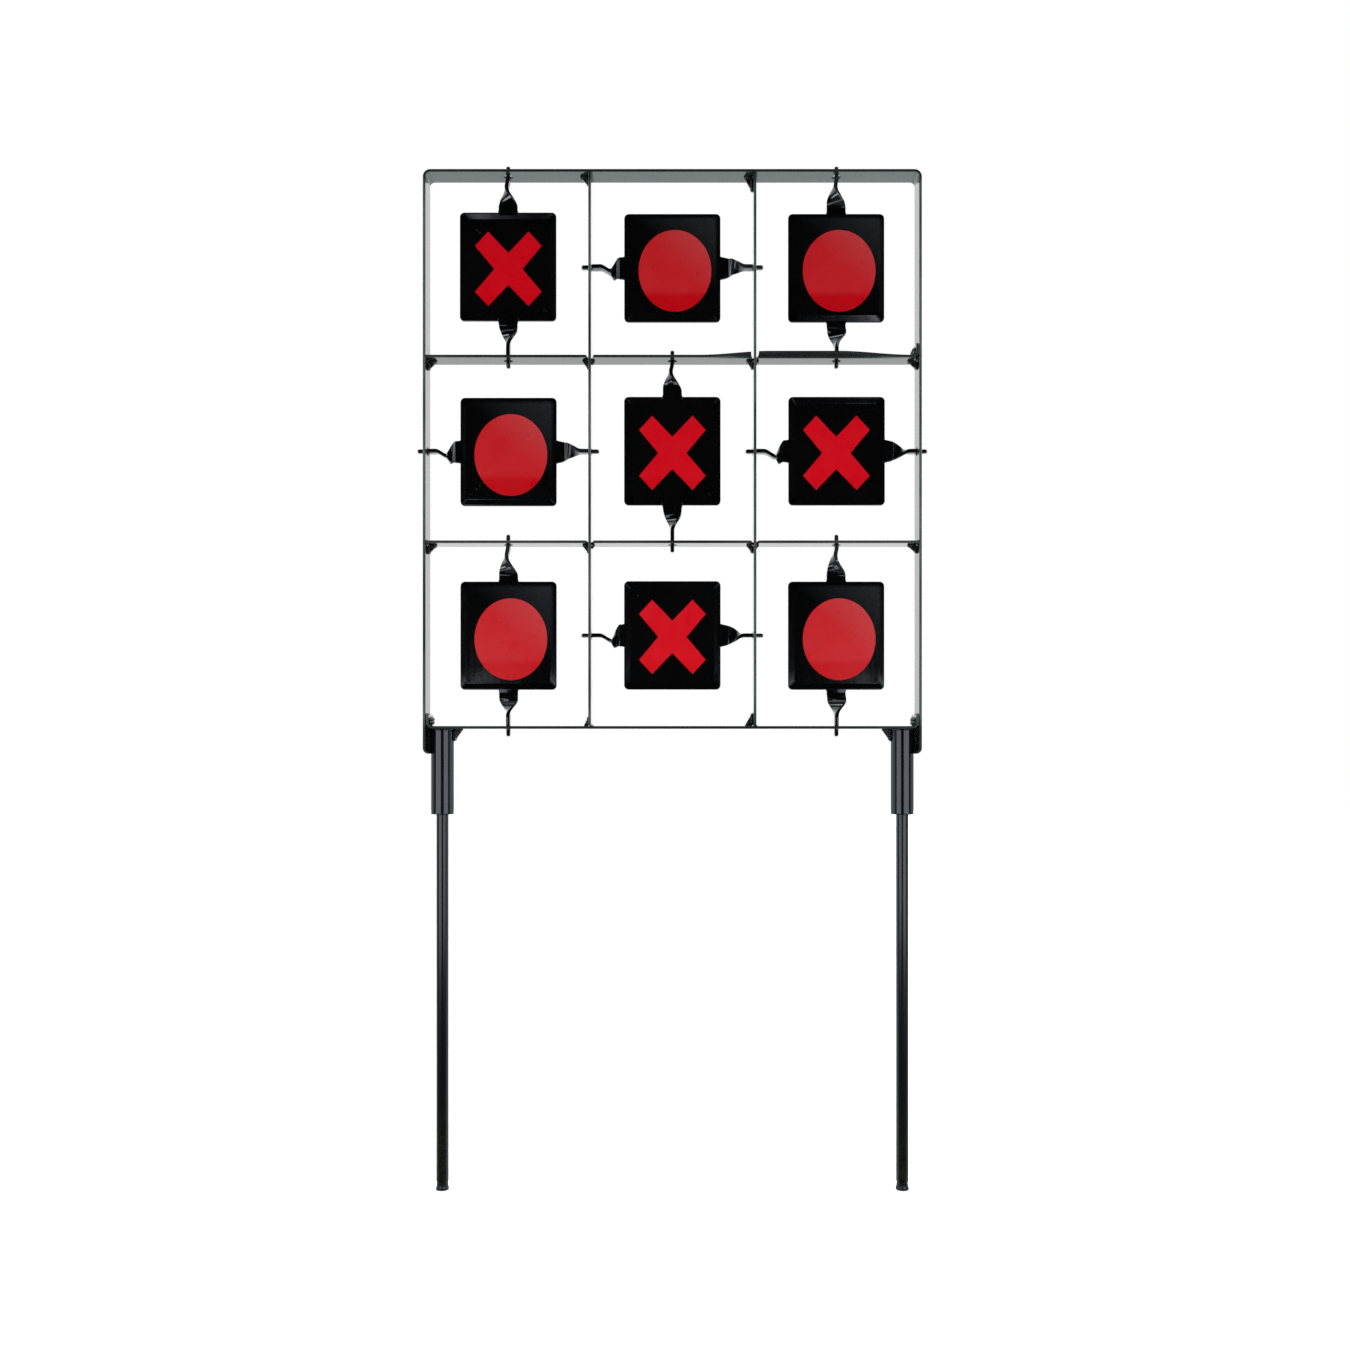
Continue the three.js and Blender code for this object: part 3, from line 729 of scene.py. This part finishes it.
def rim_weld(x, z, radius):
    """The ring of weld round the top of a socket."""
    around, across = 72, 10
    rings = []
    for i in range(around):
        a = TAU * i / around
        spoke = Vector((math.cos(a), math.sin(a), 0))
        lump = 0.22 * noise.noise(Vector((spoke.x * 9, spoke.y * 9, x * 50)))
        r = 1.15 * MM * (1 + lump + 0.08 * math.sin(a * 23))
        centre = Vector((x, 0, z)) + spoke * radius
        turns = [TAU * j / across for j in range(across)]
        rings.append([centre + (spoke * math.cos(t) + Vector((0, 0, 1)) * math.sin(t)) * r for t in turns])
    verts, faces = loft(rings + [rings[0]], closed_ends=False)
    count = around * across
    return verts[:count], [tuple(i % count for i in face) for face in faces]


def batter(point, x, top):
    """Moves a point of the foot in a little, as if the spread end had been driven into stones."""
    height = point.z / top
    if height < 1:
        out = Vector((point.x - x, point.y, 0))
        dent = 0.5 + 0.5 * noise.noise(Vector((out.x * 320, out.y * 320, height * 1.6 + x * 50)))
        inward = 1 - 0.10 * dent * (1 - height)
        point.x = x + out.x * inward
        point.y = out.y * inward


def leg(side):
    low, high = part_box(f"leg_{side}")
    x = (low.x + high.x) / 2
    foot = (high.x - low.x) / 2
    rod, neck, ease = 5.55 * MM, 5.05 * MM, 0.6 * MM
    foot_top, neck_top = 5.5 * MM, 7.3 * MM
    profile = [
        (foot - ease, 0), (foot - ease * 0.3, ease * 0.3), (foot, ease), (foot - 0.05 * MM, 1.6 * MM),
        (foot - 0.35 * MM, 2.5 * MM), (foot - 0.8 * MM, 3.6 * MM), (neck + 0.15 * MM, foot_top),
        (neck, foot_top + 0.9 * MM), (neck, neck_top),
        (rod - 0.15 * MM, neck_top + 0.4 * MM), (rod, neck_top + 0.9 * MM),
    ]
    profile += [(rod, neck_top + (high.z - neck_top) * i / 24) for i in range(1, 24)]
    profile += [(rod, high.z - 1.2 * MM), (rod - 0.4 * MM, high.z - 0.4 * MM), (rod - 1 * MM, high.z)]
    rod_piece = turned(f"leg_rod_{side}", profile, x)
    for vertex in rod_piece.data.vertices:
        batter(vertex.co, x, foot_top)
    return rod_piece


def build_legs():
    for side in ("left", "right"):
        show(flatten(socket(side)), "frame", SOCKET_PAINT, f"socket_{side}")
        show(flatten(leg(side)), "stakes", LEG_PAINT, f"leg_{side}")


# ---------------------------------------------------------------- plates
CORNER_STEPS = 7
SIDE_STEPS = 8


def plate_outline(inset):
    """Points of the plate's outline moved in by inset, as (across, up)."""
    r = max(PLATE_CORNER_R - 0.40 * inset, 1.5 * MM)
    u, v = PLATE_W / 2 - inset - r, PLATE_H / 2 - inset - r
    points = []
    for quarter, (cu, cv) in enumerate(((u, v), (-u, v), (-u, -v), (u, -v))):
        for i in range(CORNER_STEPS + 1):
            a = QUARTER * (quarter + i / CORNER_STEPS)
            points.append((cu + r * math.cos(a), cv + r * math.sin(a)))
        last = points[-1]
        nu, nv = ((-u, v), (-u, -v), (u, -v), (u, v))[quarter]
        a = QUARTER * (quarter + 1)
        following = (nu + r * math.cos(a), nv + r * math.sin(a))
        for i in range(1, SIDE_STEPS):
            t = i / SIDE_STEPS
            points.append((last[0] + (following[0] - last[0]) * t, last[1] + (following[1] - last[1]) * t))
    return points


def field_y(u, v):
    """Mid surface of the raised field; the crown fades out at the border."""
    a, b = PLATE_W / 2 - BORDER, PLATE_H / 2 - BORDER
    crown = max(1 - (u / a) ** 2, 0) * max(1 - (v / b) ** 2, 0)
    return LEAF_Y - FIELD_RISE - FIELD_CROWN * crown


def sheet_y(inset, u, v):
    """Mid surface of the sheet: level rim, evenly sloped border between two tight bends, field."""
    t = min(max((inset - 0.5 * MM) / (BORDER - 0.5 * MM), 0), 1)
    bend = 0.14
    if t < bend:
        rise = t * t / (2 * bend)
    elif t > 1 - bend:
        rise = 1 - bend - (1 - t) ** 2 / (2 * bend)
    else:
        rise = t - bend / 2
    return LEAF_Y + (field_y(u, v) - LEAF_Y) * rise / (1 - bend)


def pan(name):
    """The pressed plate without its ears, front towards -Y, centred on the pin line."""
    half, ease = PLATE_T / 2, 0.45 * MM
    border = (0.45, 0.6, 0.8, 1, 1.2, 1.5, 2.2, 3, 3.8, 4.6, 5.2, 5.4, 5.6, 5.8, 6)
    field = (6.3, 7, 8, 11, 16, 22, 29, 36, 40)
    insets = [i * MM for i in border + field]
    stations = [(i, half) for i in reversed(insets)]
    nip = 0.13 * MM
    stations += [(nip, half - nip), (0, half - ease), (0, ease - half), (nip, nip - half)]
    stations += [(i, -half) for i in insets]
    rings = []
    for inset, out in stations:
        rings.append([Vector((u, sheet_y(inset, u, v) + out, v)) for u, v in plate_outline(inset)])
    verts, faces = loft(rings, closed_ends=False)
    count = len(rings[0])
    for first, out in ((0, half), (len(rings) * count - count, -half)):
        verts.append(Vector((0, field_y(0, 0) + out, 0)))
        hub = len(verts) - 1
        faces += [(first + i, first + (i + 1) % count, hub) for i in range(count)]
    return make_object(name, verts, faces)


# How each ear is formed, by the side of the plate that it leaves. Distances run from 0 at the
# plate's edge to 1 at the shoulder: where the ear narrows and twists, where it steps forward,
# and where it swings away from the pin line, is farthest from it, and is back on it.
EAR_FORMS = {
    "upper": {
        "narrow": (0.14, 0.80), "twist": (0.12, 0.80),
        "step": (0.16, 0.34), "swing": (0.15, 0.58, 0.95),
    },
    "lower": {
        "narrow": (0.30, 0.80), "twist": (0.14, 0.72),
        "step": (0.10, 0.26), "swing": (0.10, 0.35, 0.70),
    },
    "left": {
        "narrow": (0.10, 0.50), "twist": (0.24, 0.44),
        "step": (0.14, 0.25), "swing": (0.15, 0.36, 0.76),
    },
    "right": {
        "narrow": (0.02, 0.66), "twist": (0.28, 0.76),
        "step": (0.24, 0.36), "swing": (0.15, 0.40, 0.75),
    },
}
EARLY_UPPER = (0.15, 0.62)         # the bottom row's upper ears narrow sooner
EARLY_LOWER = (0.05, 0.66)         # and so do the lower ears of the turned-round plates
EAR_SWING = {"upper": -2.2 * MM, "lower": -0.5 * MM, "left": -5 * MM, "right": 0.5 * MM}
STEP_PAST = 0.9 * MM


def ear(edge, bar_out, leaf_w, side, narrow, hand, down, late):
    """One ear and its pin, drawn along +Z: leaf, forward step, quarter twist, shoulder and pin."""
    form = EAR_FORMS[side]
    root = edge - 2.5 * MM
    shoulder = bar_out - BAR_T / 2 - 0.5 * MM
    tip = bar_out + PIN_BEYOND
    blade_w, pin_w, pin_t = 10 * MM, 4.6 * MM, 3.6 * MM
    stops = [root + (shoulder - 1 * MM - root) * i / 72 for i in range(73)]
    stops += [shoulder - 0.5 * MM, shoulder - 0.15 * MM, shoulder, shoulder + 0.05 * MM, shoulder + 0.5 * MM]
    stops += [tip - 1.2 * MM, tip - 0.5 * MM, tip - 0.15 * MM, tip]
    twist_from, twist_to = form["twist"]
    leaves, farthest, back = form["swing"]
    rings = []
    for z in stops:
        s = (z - edge) / (shoulder - edge)
        slim = smoothstep(*narrow, s)
        width = leaf_w + (blade_w - leaf_w) * slim
        width += 1.2 * MM * (1 - smoothstep(-0.02, 0.08, s))
        thick = PLATE_T + (pin_t - PLATE_T) * slim
        if z > shoulder - 0.6 * MM:
            width -= 1.2 * MM * smoothstep(shoulder - 0.6 * MM, shoulder, z)
        if z > shoulder:
            width = pin_w + 0.8 * MM * (1 - smoothstep(shoulder, shoulder + 0.5 * MM, z))
        if z > tip - 1.3 * MM:
            shrink = 1 - 0.5 * smoothstep(tip - 1.3 * MM, tip, z) ** 2
            width, thick = width * shrink, thick * shrink
        turn = hand * QUARTER * smoothstep(twist_from, twist_to + late, s)
        swing = smoothstep(leaves, farthest, s) * (1 - smoothstep(farthest, back, s))
        step = smoothstep(*form["step"], s)
        y = LEAF_Y * (1 - step) - STEP_PAST * step * (1 - smoothstep(0.45, 0.95, s))
        middle = Vector((down * EAR_SWING[side] * swing, y, z))
        across = Vector((math.cos(turn), math.sin(turn), 0))
        out = Vector((-math.sin(turn), math.cos(turn), 0))
        section = rounded_section(width, thick, 0.7 * MM, 4)
        rings.append([middle + across * a + out * b for a, b in section])
    return make_object("ear", *loft(rings))


def sheet_on_face(name, top, faces, rim, depth):
    """A thin closed layer: its top points, and the same points sunk by depth along +Y or -Y."""
    count = len(top)
    verts = top + [p + Vector((0, depth, 0)) for p in top]
    walls = [(rim[i], rim[(i + 1) % len(rim)]) for i in range(len(rim))]
    sides = [(a, b, b + count, a + count) for a, b in walls]
    under = [tuple(i + count for i in reversed(face)) for face in faces]
    return make_object(name, verts, faces + under + sides)


INK = 0.12 * MM


def round_mark(name):
    half_w, half_h = (ROUND_HIGH.x - ROUND_LOW.x) / 2, (ROUND_HIGH.z - ROUND_LOW.z) / 2
    mid_u = (ROUND_LOW.x + ROUND_HIGH.x) / 2 - cell_x(2)
    mid_v = (ROUND_LOW.z + ROUND_HIGH.z) / 2 - cell_z(0)
    ring_count, steps = 10, 120
    y_front = -PLATE_T / 2 - INK
    top = [Vector((mid_u, field_y(mid_u, mid_v) + y_front, mid_v))]
    for k in range(1, ring_count + 1):
        t = k / ring_count
        for i in range(steps):
            u = mid_u + half_w * t * math.cos(TAU * i / steps)
            v = mid_v + half_h * t * math.sin(TAU * i / steps)
            top.append(Vector((u, field_y(u, v) + y_front, v)))
    faces = [(0, 1 + i, 1 + (i + 1) % steps) for i in range(steps)]
    for k in range(ring_count - 1):
        a, b = 1 + k * steps, 1 + (k + 1) * steps
        faces += [(a + i, b + i, b + (i + 1) % steps, a + (i + 1) % steps) for i in range(steps)]
    rim = [1 + (ring_count - 1) * steps + i for i in range(steps)]
    return sheet_on_face(name, top, faces, rim, INK + 0.1 * MM)


def cross_mark(name):
    """A cross laid on the hollow back face: a middle diamond and four arms, finely divided."""
    reach = (CROSS_HIGH.x - CROSS_LOW.x) / 2
    tall = (CROSS_HIGH.z - CROSS_LOW.z) / 2
    mid_v = (CROSS_LOW.z + CROSS_HIGH.z) / 2 - cell_z(0)
    side, high = (reach, 20.8 * MM), (18.3 * MM, tall)
    elbow_x, elbow_z = 12.8 * MM, 14.6 * MM
    patches = [((elbow_x, 0), (0, elbow_z), (-elbow_x, 0), (0, -elbow_z))]
    for sx in (1, -1):
        for sz in (1, -1):
            patches.append((
                (sx * elbow_x, 0), (sx * side[0], sz * side[1]),
                (sx * high[0], sz * high[1]), (0, sz * elbow_z),
            ))
    steps = 10
    bm = bmesh.new()
    for p, q, r, s in patches:
        grid = []
        for i in range(steps + 1):
            for j in range(steps + 1):
                a, b = i / steps, j / steps
                u = (p[0] * (1 - a) + q[0] * a) * (1 - b) + (s[0] * (1 - a) + r[0] * a) * b
                v = (p[1] * (1 - a) + q[1] * a) * (1 - b) + (s[1] * (1 - a) + r[1] * a) * b + mid_v
                grid.append(bm.verts.new((u, field_y(u, v) + PLATE_T / 2 + INK, v)))
        for i in range(steps):
            for j in range(steps):
                k = i * (steps + 1) + j
                bm.faces.new((grid[k], grid[k + 1], grid[k + steps + 2], grid[k + steps + 1]))
    bmesh.ops.remove_doubles(bm, verts=bm.verts, dist=1e-6)
    bmesh.ops.recalc_face_normals(bm, faces=bm.faces)
    bm.verts.index_update()
    count = len(bm.verts)
    top = [v.co.copy() for v in bm.verts]
    faces = [tuple(v.index for v in f.verts) for f in bm.faces]
    sides = []
    for edge in bm.edges:
        if edge.is_boundary:
            a, b = (v.index for v in edge.verts)
            sides.append((a, b, b + count, a + count))
    bm.free()
    verts = top + [p - Vector((0, INK + 0.1 * MM, 0)) for p in top]
    under = [tuple(i + count for i in reversed(face)) for face in faces]
    return make_object(name, verts, faces + under + sides)


def turned_mesh(obj, matrix):
    obj.data.transform(matrix)
    return obj


def plate(where, row, column):
    """A whole plate about its own middle. No two ears are twisted quite alike."""
    level = (row + column) % 2 == 1
    number = row * 3 + column
    turned_round = SHOWS[row][column] == "x"
    body = pan(f"target_plate_{where}")
    ears = []
    for end in (0, 1):
        late = 0.04 * noise.noise(Vector((number * 3.7, end * 5.3, 1.5)))
        hand = 1 if (number + end) % 2 else -1
        narrow = None
        if level:
            side = "left" if (end == 1) != turned_round else "right"
            down = 1 if end == 1 else -1
            size = (PLATE_W / 2, COLUMN_PITCH / 2, 20 * MM)
            turn = Matrix.Rotation(QUARTER + end * math.pi, 4, "Y")
        else:
            side = "lower" if end == 1 else "upper"
            if side == "lower" and turned_round:
                narrow = EARLY_LOWER
            if side == "upper" and row == 2:
                narrow = EARLY_UPPER
            down = -1 if turned_round else 1
            size = (PLATE_H / 2, ROW_PITCH / 2, 17.3 * MM)
            turn = Matrix.Rotation(end * math.pi, 4, "Y")
        narrow = narrow or EAR_FORMS[side]["narrow"]
        ears.append(turned_mesh(ear(*size, side, narrow, hand, down, late), turn))
    combine(body, ears, "UNION")
    tidy_mesh(body)
    return body


def build_plates():
    for row, row_name in enumerate(ROWS):
        for column, column_name in enumerate(COLUMNS):
            where = f"{row_name}_{column_name}"
            spinner = f"spinner_{where}"
            half_turn = math.pi if SHOWS[row][column] == "x" else 0
            place = Matrix.Translation((cell_x(column), 0, cell_z(row))) @ Matrix.Rotation(half_turn, 4, "Z")
            pieces = (
                (plate(where, row, column), ENAMEL, f"plate_{where}", "plate_enamel"),
                (round_mark(f"printed_round_{where}"), ROUND_RED, f"round_mark_{where}", "mark_red"),
                (cross_mark(f"printed_cross_{where}"), CROSS_RED, f"cross_mark_{where}", "mark_red"),
            )
            for piece, material, node, slot in pieces:
                show(piece, spinner, material, node, place)


# ---------------------------------------------------------------- camera, floor and light
VIEW_DISTANCE = 1.2225
EYE_HEIGHT = 0.4036
EYE_X = 0.0024


def add_camera():
    data = bpy.data.cameras.new("camera")
    data.lens = 35.94
    data.sensor_width = 36
    data.shift_y = 0.0512
    camera = bpy.data.objects.new("camera", data)
    camera.location = (EYE_X, -VIEW_DISTANCE, EYE_HEIGHT)
    camera.rotation_euler = (QUARTER, 0, 0)
    bpy.context.scene.collection.objects.link(camera)
    bpy.context.scene.camera = camera


def add_floor():
    corners = ((-5, -1.9), (5, -1.9), (5, 7), (-5, 7))
    rings = [[Vector((x, y, z)) for x, y in corners] for z in (-0.02, 0)]
    floor = make_object("floor", *loft(rings))
    floor.data.materials.append(floor_white())
    floor.visible_glossy = False


def add_card(name, place, aim, width, height, radiance, diffuse=True):
    """A soft light: a plain rectangle of even brightness that faces aim."""
    data = bpy.data.lights.new(name, "AREA")
    data.shape = "RECTANGLE"
    data.size, data.size_y = width, height
    data.energy = radiance * math.pi * width * height
    card = bpy.data.objects.new(name, data)
    card.location = place
    card.rotation_euler = (Vector(aim) - Vector(place)).to_track_quat("-Z", "Y").to_euler()
    card.visible_camera = False
    card.visible_diffuse = diffuse
    bpy.context.scene.collection.objects.link(card)


def add_lights():
    """Two low cards in front, two tall ones at the flanks for the shine only, and light from above."""
    for side, name in ((-1, "left"), (1, "right")):
        add_card(f"card_{name}", (side * 0.868, -1.053, 0.25), (0, 0, 0.25), 1.244, 0.46, 3.0)
        add_card(f"flank_{name}", (side * 1.08, -0.30, 0.97), (0, 0, 0.75), 0.29, 0.86, 7, diffuse=False)
    data = bpy.data.lights.new("overhead", "SUN")
    data.energy = 4.0
    data.angle = math.radians(60)
    sun = bpy.data.objects.new("overhead", data)
    sun.location = (0, 0, 2)
    sun.visible_glossy = False
    bpy.context.scene.collection.objects.link(sun)


def add_world():
    """White to the eye; to the object it is bright behind and nearly black in front."""
    world = bpy.data.worlds.new("studio")
    world.use_nodes = True
    tree = world.node_tree
    tree.nodes.clear()
    split = tree.nodes.new("ShaderNodeSeparateXYZ")
    coords = tree.nodes.new("ShaderNodeTexCoord")
    tree.links.new(coords.outputs["Generated"], split.inputs["Vector"])
    fade = tree.nodes.new("ShaderNodeMapRange")
    fade.inputs["From Min"].default_value = -0.25
    fade.inputs["From Max"].default_value = 0.2
    fade.inputs["To Min"].default_value = 0.02
    fade.inputs["To Max"].default_value = 1.4
    tree.links.new(split.outputs["Y"], fade.inputs["Value"])
    seen = tree.nodes.new("ShaderNodeBackground")
    seen.inputs["Color"].default_value = (1, 1, 1, 1)
    unseen = tree.nodes.new("ShaderNodeBackground")
    tree.links.new(fade.outputs["Result"], unseen.inputs["Strength"])
    unseen.inputs["Color"].default_value = (1, 1, 1, 1)
    ray = tree.nodes.new("ShaderNodeLightPath")
    choose = tree.nodes.new("ShaderNodeMixShader")
    tree.links.new(ray.outputs["Is Camera Ray"], choose.inputs["Fac"])
    tree.links.new(unseen.outputs["Background"], choose.inputs[1])
    tree.links.new(seen.outputs["Background"], choose.inputs[2])
    out = tree.nodes.new("ShaderNodeOutputWorld")
    tree.links.new(choose.outputs["Shader"], out.inputs["Surface"])
    bpy.context.scene.world = world


add_camera()
build_bars()
build_gussets()
build_bar_welds()
build_legs()
build_plates()
add_floor()
add_lights()
add_world()
bpy.context.scene.view_settings.view_transform = "Standard"
bpy.context.scene.cycles.use_denoising = True
